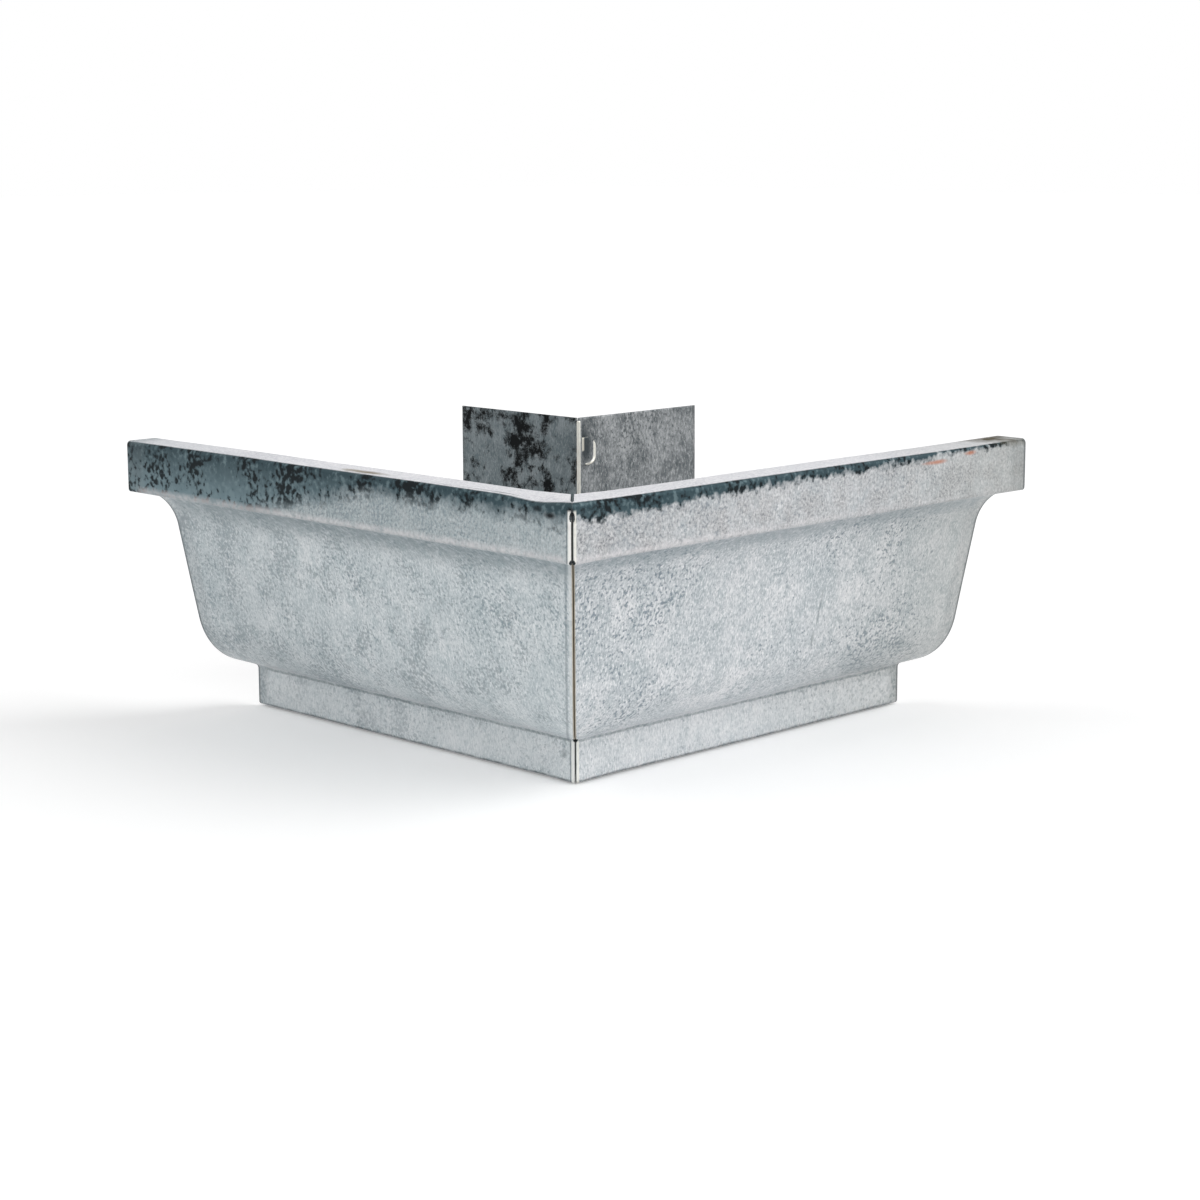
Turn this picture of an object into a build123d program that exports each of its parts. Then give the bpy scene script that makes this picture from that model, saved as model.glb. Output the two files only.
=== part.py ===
"""Outside corner miter for an ogee rain gutter: two folded halves of galvanised sheet, locked along the miter.

The origin is at the house's outside corner, at the level of the gutter's underside. The fascia faces are the
planes x = 0 and y = 0, the right arm runs along +X and the left arm along +Y, and the street is at -X and -Y.
A section is drawn in two coordinates: out, the distance from the fascia, and up, the height over the underside.
"""
import os

from build123d import *

# Gutter section, in millimetres
SHEET = 0.5
GUTTER_WIDTH = 127.0
FRONT_HEIGHT = 83.0
BACK_HEIGHT = 83.0
BOTTOM_WIDTH = 83.4
STEP_HEIGHT = 12.0
LIP_FACE = 15.0
LIP_DEPTH = 11.2
LIP_RETURN = 6.0

# Ogee: corners that its two curves round off, and the radii of those curves
COVE_SETBACK = 14.0
COVE_RADIUS = 14.0
OVOLO_REACH = 18.3
OVOLO_HEIGHT = 18.4
OVOLO_RADIUS = 20.0

# Bends in the sheet, as outside radii
LIP_BEND = 1.5
PAN_BEND = 1.2

# Arms, along the lip from the outer corner to the cut end
ARM_LENGTH = 178.0

# Lock seam along the miter
SEAM_GAP = 0.12
SEAM_HEIGHT = 5.5
HEM_LENGTH = 3.5
SEAM_TOP = 3.0
LIP_SLIT = 0.8
RELIEF_RADIUS = 0.9

# Ear of the hem, turned flat against the right back wall
EAR_WIDTH = 6.5
EAR_HEIGHT = 8.5
EAR_BELOW_TOP = 6.0
EAR_RADIUS = 3.0

ARM_END = ARM_LENGTH - GUTTER_WIDTH
LIP_UNDERSIDE = FRONT_HEIGHT - LIP_FACE
REACH = 2 * (ARM_LENGTH + FRONT_HEIGHT)

# Section planes at the two cut ends, and the miter plane, which faces the right half
RIGHT_END = Plane(origin=(ARM_END, 0, 0), x_dir=(0, -1, 0), z_dir=(-1, 0, 0))
LEFT_END = Plane(origin=(0, ARM_END, 0), x_dir=(-1, 0, 0), z_dir=(0, 1, 0))
MITER = Plane(origin=(0, 0, 0), x_dir=(1, 1, 0), z_dir=(1, -1, 0))

# Outside line of the section: the lip, then the front, pan and back wall
LIP = [
    (GUTTER_WIDTH - LIP_DEPTH, FRONT_HEIGHT - LIP_RETURN),
    (GUTTER_WIDTH - LIP_DEPTH, FRONT_HEIGHT),
    (GUTTER_WIDTH, FRONT_HEIGHT),
]
FRONT_AND_PAN = [
    (GUTTER_WIDTH, LIP_UNDERSIDE),
    (GUTTER_WIDTH - COVE_SETBACK, LIP_UNDERSIDE),
    (BOTTOM_WIDTH + OVOLO_REACH, OVOLO_HEIGHT),
    (BOTTOM_WIDTH, STEP_HEIGHT),
    (BOTTOM_WIDTH, 0),
    (0, 0),
]
FRONT_AND_PAN_RADII = [PAN_BEND, COVE_RADIUS, OVOLO_RADIUS, PAN_BEND, PAN_BEND, PAN_BEND]
BACK_TOP = (0, BACK_HEIGHT)

# Ends and corners of the seam on the front: where it starts on the lip's face, and the bends that it turns
SEAM_START = (GUTTER_WIDTH, FRONT_HEIGHT - SEAM_TOP)
FRONT_BENDS = [(GUTTER_WIDTH, LIP_UNDERSIDE), (BOTTOM_WIDTH, STEP_HEIGHT), (BOTTOM_WIDTH, 0)]

# Distances to the right of the miter: the two flanges lie face to face, and the hem's leg is past the right one
RIGHT_FACE = SEAM_GAP / 2
RIGHT_BACK = RIGHT_FACE + SHEET
LEG_FACE = RIGHT_BACK + SEAM_GAP
LEG_BACK = LEG_FACE + SHEET

# Distances inside the outside line: the foot of a flange, the fold that caps the right flange, and the ear
FLANGE_ROOT = 3 * SHEET
FOLD_TOP = SHEET + SEAM_HEIGHT
FOLD_UNDERSIDE = FOLD_TOP - SHEET
EAR_FACE = SHEET + SEAM_GAP


def sheet_section():
    """Section of the folded sheet, from the lip's return to the top of the back wall."""
    with BuildSketch() as section:
        with BuildLine():
            FilletPolyline(*LIP, *FRONT_AND_PAN, BACK_TOP, radius=[LIP_BEND, LIP_BEND] + FRONT_AND_PAN_RADII)
            offset(amount=SHEET, side=Side.RIGHT)
        make_face()
    return section.sketch


def trough(inside):
    """Section of the trough's hollow, that far inside the outside line and carried up past the top."""
    with BuildSketch() as hollow:
        with BuildLine():
            FilletPolyline((GUTTER_WIDTH, REACH), *FRONT_AND_PAN, (0, REACH), radius=FRONT_AND_PAN_RADII)
            Line((0, REACH), (GUTTER_WIDTH, REACH))
        make_face()
        if inside > 0:
            offset(amount=-inside)
    return hollow.sketch


def seam_section(near, far):
    """Band that lines the trough between two distances inside the outside line, up to the seam's two ends."""
    with BuildSketch() as band:
        add(trough(near))
        add(trough(far), mode=Mode.SUBTRACT)
        with BuildLine():
            Polyline(
                (0, -SHEET),
                (GUTTER_WIDTH, -SHEET),
                SEAM_START,
                (GUTTER_WIDTH / 2, FRONT_HEIGHT - SEAM_TOP),
                (GUTTER_WIDTH / 2, BACK_HEIGHT),
                (0, BACK_HEIGHT),
                close=True,
            )
        make_face(mode=Mode.INTERSECT)
    return band.sketch


def between(first, last):
    """Slab of space that lies parallel to the miter, between two distances to the right of it."""
    with BuildPart() as slab:
        with BuildSketch(MITER.offset(first)):
            Rectangle(REACH, REACH)
        extrude(amount=last - first)
    return slab.part


def standing(near, far, first, last):
    """Band of the seam that stands square to the miter, between two distances to the right of it."""
    with BuildPart() as prism:
        with BuildSketch(RIGHT_END):
            add(seam_section(near, far))
        extrude(amount=ARM_LENGTH)
    cut = section(prism.part, section_by=MITER, mode=Mode.PRIVATE)
    with BuildPart() as band:
        extrude(cut.faces(), amount=REACH, both=True)
        add(between(first, last), mode=Mode.INTERSECT)
    return band.part


def root(plane, length, first, last):
    """Foot of a flange, which follows the walls of one arm into the miter."""
    with BuildPart() as foot:
        with BuildSketch(plane):
            add(seam_section(0, FLANGE_ROOT))
        extrude(amount=length)
        add(between(first, last), mode=Mode.INTERSECT)
    return foot.part


def relief():
    """Round notches in both halves at the sharp bends of the front, where the seam turns a corner."""
    with BuildPart() as notches:
        for out, up in [SEAM_START] + FRONT_BENDS:
            with Locations((-out, -out, up)):
                Sphere(RELIEF_RADIUS)
    return notches.part


def lip_slit():
    """Open joint between the two lips, across their top and their return."""
    with BuildPart() as slit:
        with BuildSketch(RIGHT_END):
            with Locations((GUTTER_WIDTH - LIP_BEND, FRONT_HEIGHT + SHEET)):
                Rectangle(LIP_DEPTH, LIP_RETURN + 2 * SHEET, align=(Align.MAX, Align.MAX))
        extrude(amount=ARM_LENGTH)
        add(between(-LIP_SLIT / 2, LIP_SLIT / 2), mode=Mode.INTERSECT)
    return slit.part


def ear():
    """Ear of the hem: a root below its leg, and a rounded tongue flat against the right back wall."""
    with BuildPart() as root_strip:
        with BuildSketch(RIGHT_END):
            with Locations((EAR_FACE, BACK_HEIGHT - EAR_BELOW_TOP)):
                Rectangle(FOLD_TOP - EAR_FACE, EAR_HEIGHT, align=(Align.MIN, Align.MAX))
        extrude(amount=ARM_LENGTH)
        add(between(LEG_FACE, LEG_BACK), mode=Mode.INTERSECT)
    with BuildPart() as tongue:
        with BuildSketch(Plane(origin=(0, -EAR_FACE, 0), x_dir=(1, 0, 0), z_dir=(0, -1, 0))) as outline:
            with Locations((-SHEET, BACK_HEIGHT - EAR_BELOW_TOP)):
                Rectangle(EAR_WIDTH + SHEET, EAR_HEIGHT, align=(Align.MIN, Align.MAX))
            fillet(outline.vertices().group_by(Axis.X)[-1], radius=EAR_RADIUS)
        extrude(amount=SHEET)
        split(bisect_by=MITER.offset(LEG_FACE), keep=Keep.TOP)
        add(root_strip.part)
    return tongue.part


with BuildPart() as right_half:
    with BuildSketch(RIGHT_END):
        add(sheet_section())
    extrude(amount=ARM_LENGTH)
    split(bisect_by=MITER.offset(RIGHT_FACE), keep=Keep.TOP)
    add(root(RIGHT_END, ARM_LENGTH, RIGHT_FACE, RIGHT_BACK))
    add(standing(SHEET, FOLD_UNDERSIDE - SEAM_GAP, RIGHT_FACE, RIGHT_BACK))
    add(lip_slit(), mode=Mode.SUBTRACT)
    add(relief(), mode=Mode.SUBTRACT)
right_half.part.label = "right_half"

with BuildPart() as left_half:
    with BuildSketch(LEFT_END):
        add(sheet_section())
    extrude(amount=-ARM_LENGTH)
    split(bisect_by=MITER.offset(-RIGHT_FACE), keep=Keep.BOTTOM)
    add(root(LEFT_END, -ARM_LENGTH, -RIGHT_BACK, -RIGHT_FACE))
    add(standing(SHEET, FOLD_TOP, -RIGHT_BACK, -RIGHT_FACE))
    add(standing(FOLD_UNDERSIDE, FOLD_TOP, -RIGHT_BACK, LEG_BACK))
    add(standing(FOLD_TOP - HEM_LENGTH, FOLD_TOP, LEG_FACE, LEG_BACK))
    add(ear())
    add(lip_slit(), mode=Mode.SUBTRACT)
    add(relief(), mode=Mode.SUBTRACT)
left_half.part.label = "left_half"

os.makedirs("parts", exist_ok=True)
for half in (left_half, right_half):
    export_step(half.part, f"parts/{half.part.label}.step")
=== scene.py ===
# %% [markdown]
# # An outside gutter miter, dressed as folded zinc-coated sheet
# The packed model gives the frame: two folded halves of an ogee gutter corner, locked along a 45 degree
# miter. Their solids are exact, but perfectly flat and sharp. Thin sheet never is, so each half is folded
# again here from the same sizes, with rounded bends, a slightly wavy skin and a zinc finish.

# %% Load the frame
from math import hypot, radians, sqrt

import bmesh
import bpy
from mathutils import Matrix, Vector


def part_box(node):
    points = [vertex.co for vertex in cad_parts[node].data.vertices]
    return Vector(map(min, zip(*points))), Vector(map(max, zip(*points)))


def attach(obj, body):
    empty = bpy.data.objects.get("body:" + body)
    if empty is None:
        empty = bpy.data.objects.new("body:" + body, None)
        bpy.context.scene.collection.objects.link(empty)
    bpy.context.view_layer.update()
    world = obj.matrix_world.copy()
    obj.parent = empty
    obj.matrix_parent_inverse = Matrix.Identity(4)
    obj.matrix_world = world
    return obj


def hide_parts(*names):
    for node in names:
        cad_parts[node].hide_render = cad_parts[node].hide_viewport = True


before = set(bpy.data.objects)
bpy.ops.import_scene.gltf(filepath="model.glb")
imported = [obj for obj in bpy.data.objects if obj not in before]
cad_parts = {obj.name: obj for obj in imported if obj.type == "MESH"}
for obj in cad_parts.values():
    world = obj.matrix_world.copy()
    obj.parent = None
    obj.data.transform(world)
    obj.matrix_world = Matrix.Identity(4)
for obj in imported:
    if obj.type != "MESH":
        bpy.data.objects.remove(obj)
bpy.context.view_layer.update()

MM = 0.001

# %% [markdown]
# ## The section, as a line with rounded corners
# A folder in a metal shop bends a flat strip along a few straight lines, and a roller gives it the two
# big curves. So the section is a polyline whose corners each have a radius: small at the bends, large at
# the cove and the ovolo. It could be drawn as arcs point by point, but a poly curve can hold just what
# the maker knows, a point for each corner and its radius, and Geometry Nodes rounds it. The two
# coordinates are the distance out from the fascia and the height over the underside.

# %% Section sizes
left_low, left_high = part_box("left_half")
WIDTH = -left_low[0] / MM
ARM_END = left_high[1] / MM
HEIGHT = left_high[2] / MM
SHEET = 0.5
PAN_WIDTH, STEP_HEIGHT = 83.4, 12.0
LIP_FACE, LIP_DEPTH, LIP_RETURN = 15.0, 11.2, 6.0
COVE_SETBACK, COVE_RADIUS = 14.0, 14.0
OVOLO_REACH, OVOLO_HEIGHT, OVOLO_RADIUS = 18.3, 18.4, 20.0
LIP_BEND, PAN_BEND = 1.5, 1.2
LIP_BOTTOM = HEIGHT - LIP_FACE

SECTION = [
    (WIDTH - LIP_DEPTH, HEIGHT - LIP_RETURN, 0),
    (WIDTH - LIP_DEPTH, HEIGHT, LIP_BEND),
    (WIDTH, HEIGHT, LIP_BEND),
    (WIDTH, LIP_BOTTOM, PAN_BEND),
    (WIDTH - COVE_SETBACK, LIP_BOTTOM, COVE_RADIUS),
    (PAN_WIDTH + OVOLO_REACH, OVOLO_HEIGHT, OVOLO_RADIUS),
    (PAN_WIDTH, STEP_HEIGHT, PAN_BEND),
    (PAN_WIDTH, 0, PAN_BEND),
    (0, 0, PAN_BEND),
    (0, HEIGHT, 0),
]
print("section of", len(SECTION), "corners,", WIDTH, "mm wide and", HEIGHT, "mm high")

# %% Section curve


def cornered_line(name, points):
    """Poly curve through points given in mm, whose point radius is the bend radius of its corner."""
    data = bpy.data.curves.new(name, "CURVE")
    data.dimensions = "3D"
    spline = data.splines.new("POLY")
    spline.points.add(len(points) - 1)
    for point, (position, bend) in zip(spline.points, points):
        point.co = (*[value * MM for value in position], 1)
        point.radius = bend * MM
    line = bpy.data.objects.new(name, data)
    bpy.context.scene.collection.objects.link(line)
    return line


section = cornered_line("section", [((out, 0, up), bend) for out, up, bend in SECTION])
print("curve", section.name, "with", len(section.data.splines[0].points), "points")

# %% [markdown]
# ## The strip across the seam
# Every narrow strip of the sheet that runs along an arm does the same thing: it comes straight to the
# miter, turns inwards and stands up as a flange. On the left half it goes on, over the right flange and a
# little way down its other side, which locks the two together. This second polyline holds that path in
# three coordinates: the distance along the arm from the miter, the height inwards from the sheet, and the
# distance from the miter plane. Its points crowd towards the miter, because the small bends and notches
# are there.

# %% Strip sizes
GAP = 0.12
SEAM_HEIGHT, HEM_LENGTH = 5.5, 3.5
CORNER_BEND, FOLD_BEND = 1.3, 0.3
WALL_START = 1.6
WALL_STEPS = 36

own_side = GAP / 2
other_side = -(GAP / 2 + SHEET + GAP)
far_end = WIDTH + ARM_END
spread = [(1 - step / WALL_STEPS) ** 2 for step in range(WALL_STEPS)]
wall = [((WALL_START + (far_end - WALL_START) * part, 0, own_side), 0) for part in spread]
to_miter = wall + [((0, 0, own_side), CORNER_BEND)]
print("wall of", WALL_STEPS, "steps,", far_end, "mm long at the lip")

# %% Strip curves
right_flange = [((0, SEAM_HEIGHT - GAP, own_side), 0)]
left_fold = [
    ((0, SEAM_HEIGHT, own_side), FOLD_BEND),
    ((0, SEAM_HEIGHT, other_side), FOLD_BEND),
    ((0, SEAM_HEIGHT + SHEET - HEM_LENGTH, other_side), 0),
]
right_strip = cornered_line("right_strip", to_miter + right_flange)
left_strip = cornered_line("left_strip", to_miter + left_fold)
print("flange of", SEAM_HEIGHT, "mm, with a hem of", HEM_LENGTH, "mm on the left")

# %% [markdown]
# ## Folding a half with Geometry Nodes
# The whole half follows one rule, so a node tree can make it: sweep the strip along the section, which
# gives a grid that remembers its place on both lines, and move every point of that grid to where the fold
# puts it. Modelling it by hand would mean mitring nine faces and keeping their bends in step. The same
# tree makes the other half with its two arm directions swapped. One small function adds a node, sets it
# and links it.

# %% Node helper


def add_node(tree, kind, links=None, output=0, **settings):
    """Add a node, set its properties, fill its inputs with values or links, and give back an output."""
    node = tree.nodes.new(kind)
    for name, value in settings.items():
        setattr(node, name, value)
    for key, value in (links or {}).items():
        if isinstance(value, bpy.types.NodeSocket):
            tree.links.new(value, node.inputs[key])
        else:
            node.inputs[key].default_value = value
    return node.outputs[output] if node.outputs else None


print("helper:", add_node.__doc__)

# %% Lengths along the section, from the edge of the lip's return
SEAM_TOP = 3.0
# A rounded corner is shorter than a square one by this share of its radius
ROUNDING = 0.43
bare_length = LIP_RETURN + LIP_DEPTH + SEAM_TOP - 2 * LIP_BEND * ROUNDING
slit_length = LIP_RETURN + LIP_DEPTH - LIP_BEND * (1 + ROUNDING)
lip_length = bare_length - SEAM_TOP + LIP_FACE
print("lip's top", round(slit_length, 2), "seam's start", round(bare_length, 2), "lip", round(lip_length, 2))

# %% Inputs of the tree
INPUTS = [
    ("Geometry", "NodeSocketGeometry", None),
    ("Strip", "NodeSocketObject", None),
    ("Right hand", "NodeSocketBool", True),
    ("Arm end", "NodeSocketFloat", (ARM_END - own_side * sqrt(2)) * MM),
    ("Far end", "NodeSocketFloat", far_end * MM),
    ("Near miter", "NodeSocketFloat", 12 * MM),
    ("Section step", "NodeSocketFloat", 0.5 * MM),
    ("Own side", "NodeSocketFloat", own_side * MM),
    ("Corner bend", "NodeSocketFloat", CORNER_BEND * MM),
    ("Lip bend", "NodeSocketFloat", 0.8),
    ("Tight bend", "NodeSocketFloat", 0.4),
    ("Lip length", "NodeSocketFloat", lip_length * MM),
    ("Bare length", "NodeSocketFloat", bare_length * MM),
    ("Slit length", "NodeSocketFloat", slit_length * MM),
    ("Lip slit", "NodeSocketFloat", 0.5 * MM),
    ("Relief cut", "NodeSocketFloat", 0.95),
    ("Wave depth", "NodeSocketFloat", 0.5 * MM),
    ("Wave length", "NodeSocketFloat", 55 * MM),
    ("Material", "NodeSocketMaterial", None),
]

fold_half = bpy.data.node_groups.new("fold_half", "GeometryNodeTree")
for name, kind, value in INPUTS:
    socket = fold_half.interface.new_socket(name, in_out="INPUT", socket_type=kind)
    if value is not None:
        socket.default_value = value
fold_half.interface.new_socket("Geometry", in_out="OUTPUT", socket_type="NodeSocketGeometry")
size = add_node(fold_half, "NodeGroupInput").node.outputs
print("tree with", len(INPUTS), "inputs")

# %% [markdown]
# ## A grid that remembers its place
# Curve to Mesh sweeps one curve along another, but a point of the result doesn't know where on the two
# curves it came from. Capture Attribute keeps that: it writes a value on each curve's points, and the
# swept grid still carries it. So each grid point has its place on the section, the section's direction
# there, the length travelled along it, and its place on the strip.

# %% Swept grid
bend = add_node(fold_half, "GeometryNodeInputRadius")
place = add_node(fold_half, "GeometryNodeInputPosition")


def rounded(curve, count):
    """Curve with its corners rounded by the radius that each point holds."""
    links = {"Curve": curve, "Count": count, "Radius": bend, "Limit Radius": True}
    return add_node(fold_half, "GeometryNodeFilletCurve", links, mode="POLY")


def remember(curve, *values):
    """Curve that carries these values on its points, and then the values as they reach the grid."""
    keeper = fold_half.nodes.new("GeometryNodeCaptureAttribute")
    fold_half.links.new(curve, keeper.inputs[0])
    for number, value in enumerate(values):
        keeper.capture_items.new("VECTOR", f"kept_{number}")
        fold_half.links.new(value, keeper.inputs[number + 1])
    return keeper.outputs


STRIP_ARC, SECTION_ARC = 7, 40
strip_curve = add_node(fold_half, "GeometryNodeObjectInfo", {"Object": size["Strip"]}, output="Geometry")
strip_kept = remember(rounded(strip_curve, STRIP_ARC), place)
dense_links = {"Curve": rounded(size["Geometry"], SECTION_ARC), "Length": size["Section step"]}
dense = add_node(fold_half, "GeometryNodeResampleCurve", dense_links, mode="LENGTH")
tangent = add_node(fold_half, "GeometryNodeInputTangent")
travelled = add_node(fold_half, "GeometryNodeSplineParameter", output="Length")
section_kept = remember(dense, place, tangent, travelled)
swept = {"Curve": section_kept[0], "Profile Curve": strip_kept[0]}
grid = add_node(fold_half, "GeometryNodeCurveToMesh", swept)

out, _, up = add_node(fold_half, "ShaderNodeSeparateXYZ", {0: section_kept[1]}).node.outputs
tangent_out, _, tangent_up = add_node(fold_half, "ShaderNodeSeparateXYZ", {0: section_kept[2]}).node.outputs
from_return = add_node(fold_half, "ShaderNodeSeparateXYZ", {0: section_kept[3]})
along, inwards, aside = add_node(fold_half, "ShaderNodeSeparateXYZ", {0: strip_kept[1]}).node.outputs
print("grid,", len(fold_half.nodes), "nodes so far")

# %% [markdown]
# ## The lip's top and the bends beside the seam
# The seam starts a little below the lip's top. Above that the two lips only meet, with an open joint
# between them, so the flange is cut away there. The bend into the flange is hammered tighter below the
# lip than on it.

# %% Lip top without a flange
is_bare = {0: from_return, 1: size["Bare length"]}
bare = add_node(fold_half, "FunctionNodeCompare", is_bare, operation="LESS_THAN")
is_open = {0: from_return, 1: size["Slit length"]}
open_joint = add_node(fold_half, "FunctionNodeCompare", is_open, operation="LESS_THAN")
JUST_PAST = 1.02
bend_end = {0: size["Corner bend"], 1: JUST_PAST}
past_bend = add_node(fold_half, "ShaderNodeMath", bend_end, operation="MULTIPLY")
flange = add_node(fold_half, "FunctionNodeCompare", {0: inwards, 1: past_bend}, operation="GREATER_THAN")
unwanted = add_node(fold_half, "FunctionNodeBooleanMath", {0: bare, 1: flange}, operation="AND")
trimmed = add_node(fold_half, "GeometryNodeDeleteGeometry", {"Geometry": grid, "Selection": unwanted})
print("flange trimmed,", len(fold_half.nodes), "nodes so far")

# %% Tighter bends, flat lip top and open joint
past_lip = add_node(fold_half, "FunctionNodeCompare", {0: from_return, 1: size["Lip length"]})
bend_size = {"Switch": past_lip, "False": size["Lip bend"], "True": size["Tight bend"]}
share = add_node(fold_half, "GeometryNodeSwitch", bend_size, input_type="FLOAT")
on_wall = add_node(fold_half, "FunctionNodeCompare", {0: along, 1: past_bend}, operation="GREATER_THAN")
along_size = {"Switch": on_wall, "False": share, "True": 1.0}
along_share = add_node(fold_half, "GeometryNodeSwitch", along_size, input_type="FLOAT")
height_size = {"Switch": flange, "False": share, "True": 1.0}
height_share = add_node(fold_half, "GeometryNodeSwitch", height_size, input_type="FLOAT")
tight_along = add_node(fold_half, "ShaderNodeMath", {0: along, 1: along_share}, operation="MULTIPLY")
tight_height = add_node(fold_half, "ShaderNodeMath", {0: inwards, 1: height_share}, operation="MULTIPLY")

flat = {"Switch": bare, "False": tight_height, "True": 0.0}
height = add_node(fold_half, "GeometryNodeSwitch", flat, input_type="FLOAT")
clear = add_node(fold_half, "ShaderNodeMath", {0: open_joint, 1: size["Lip slit"]}, operation="MULTIPLY")
start = add_node(fold_half, "ShaderNodeMath", {0: tight_along, 1: clear}, operation="MAXIMUM")
print("bends set,", len(fold_half.nodes), "nodes so far")

# %% [markdown]
# ## Where the fold puts each point
# The wall is longest at the lip and shortest at the fascia, because the miter cuts it at 45 degrees. The
# part near the miter keeps its fine steps, and only the rest is stretched. A point then goes inwards
# along the section's normal by its height in the strip, and aside by its distance from the miter plane.

# %% Length of the wall at this place of the section
near = size["Near miter"]
end = add_node(fold_half, "ShaderNodeMath", {0: size["Arm end"], 1: out}, operation="ADD")
far_wall = add_node(fold_half, "ShaderNodeMath", {0: end, 1: near}, operation="SUBTRACT")
longest = add_node(fold_half, "ShaderNodeMath", {0: size["Far end"], 1: near}, operation="SUBTRACT")
stretch = add_node(fold_half, "ShaderNodeMath", {0: far_wall, 1: longest}, operation="DIVIDE")
over = add_node(fold_half, "ShaderNodeMath", {0: start, 1: near}, operation="SUBTRACT")
beyond = add_node(fold_half, "ShaderNodeMath", {0: over, 1: 0.0}, operation="MAXIMUM")
kept = add_node(fold_half, "ShaderNodeMath", {0: start, 1: near}, operation="MINIMUM")
reach = add_node(fold_half, "ShaderNodeMath", {0: beyond, 1: stretch, 2: kept}, operation="MULTIPLY_ADD")
print("wall lengths set,", len(fold_half.nodes), "nodes so far")

# %% Folded place, for the right hand and the left
out_links = {0: height, 1: tangent_up, 2: out}
new_out = add_node(fold_half, "ShaderNodeMath", out_links, operation="MULTIPLY_ADD")
sink = add_node(fold_half, "ShaderNodeMath", {0: height, 1: tangent_out}, operation="MULTIPLY")
new_up = add_node(fold_half, "ShaderNodeMath", {0: up, 1: sink}, operation="SUBTRACT")
beside = add_node(fold_half, "ShaderNodeMath", {0: aside, 1: size["Own side"]}, operation="SUBTRACT")
shift = add_node(fold_half, "ShaderNodeMath", {0: beside, 1: 1 / sqrt(2)}, operation="MULTIPLY")
side_links = {0: size["Own side"], 1: sqrt(2), 2: shift}
side_step = add_node(fold_half, "ShaderNodeMath", side_links, operation="MULTIPLY_ADD")
from_out = add_node(fold_half, "ShaderNodeMath", {0: reach, 1: new_out}, operation="SUBTRACT")
arm = add_node(fold_half, "ShaderNodeMath", {0: from_out, 1: side_step}, operation="ADD")
spread_out = add_node(fold_half, "ShaderNodeMath", {0: new_out, 1: shift}, operation="ADD")
across = add_node(fold_half, "ShaderNodeMath", {0: spread_out, 1: -1.0}, operation="MULTIPLY")
right_place = add_node(fold_half, "ShaderNodeCombineXYZ", {0: arm, 1: across, 2: new_up})
left_place = add_node(fold_half, "ShaderNodeCombineXYZ", {0: across, 1: arm, 2: new_up})
hands = {"Switch": size["Right hand"], "False": left_place, "True": right_place}
folded_place = add_node(fold_half, "GeometryNodeSwitch", hands, input_type="VECTOR")
folded = add_node(fold_half, "GeometryNodeSetPosition", {"Geometry": trimmed, "Position": folded_place})
print("folded,", len(fold_half.nodes), "nodes so far")

# %% [markdown]
# ## Relief notches and a dent
# Where the seam turns a sharp bend, the maker nips a small notch out of the metal, or it would tear. A
# boolean could cut them, but would leave ragged triangles in a sheet this thin. Here each notch takes the
# faces in the middle of an egg shape away and moves the points around them onto it, which leaves a clean
# rim. A knock has also pressed the left lip's edge down beside the corner: a soft egg of offset does
# that.

# %% Egg shapes


def from_egg(tree, place, centre, half_sizes):
    """Centre in metres of an egg given in mm, the offset from it, and the distance, which is 1 on the egg."""
    middle = [value * MM for value in centre]
    to_egg = [1 / (value * MM) for value in half_sizes]
    offset = add_node(tree, "ShaderNodeVectorMath", {0: place, 1: middle}, operation="SUBTRACT")
    in_egg = add_node(tree, "ShaderNodeVectorMath", {0: offset, 1: to_egg}, operation="MULTIPLY")
    away = add_node(tree, "ShaderNodeVectorMath", {0: in_egg}, output="Value", operation="LENGTH")
    return middle, offset, away


print("helper:", from_egg.__doc__)

# %% Relief notches: the distance out, the height, the half width and the half height in mm
RELIEFS = [
    (WIDTH, HEIGHT - SEAM_TOP - 0.7, 1.0, 1.5),
    (WIDTH - 0.5, LIP_BOTTOM + 0.4, 0.9, 0.9),
    (PAN_WIDTH + 0.2, STEP_HEIGHT, 0.9, 0.9),
    (PAN_WIDTH, 0, 0.9, 0.9),
]
notched = folded
for relief_out, relief_up, half_width, half_height in RELIEFS:
    egg = (-relief_out, -relief_out, relief_up), (half_width, half_width, half_height)
    centre, from_centre, away = from_egg(fold_half, place, *egg)
    is_inside = {0: away, 1: size["Relief cut"]}
    inside = add_node(fold_half, "FunctionNodeCompare", is_inside, operation="LESS_THAN")
    cut_links = {"Geometry": notched, "Selection": inside}
    cut = add_node(fold_half, "GeometryNodeDeleteGeometry", cut_links, domain="FACE")
    inverse = add_node(fold_half, "ShaderNodeMath", {0: 1.0, 1: away}, operation="DIVIDE")
    push = add_node(fold_half, "ShaderNodeMath", {0: inverse, 1: 1.0}, operation="MAXIMUM")
    on_egg = add_node(fold_half, "ShaderNodeVectorMath", {0: from_centre, "Scale": push}, operation="SCALE")
    rim = add_node(fold_half, "ShaderNodeVectorMath", {0: on_egg, 1: centre}, operation="ADD")
    notched = add_node(fold_half, "GeometryNodeSetPosition", {"Geometry": cut, "Position": rim})
print(len(RELIEFS), "notches,", len(fold_half.nodes), "nodes so far")

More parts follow.
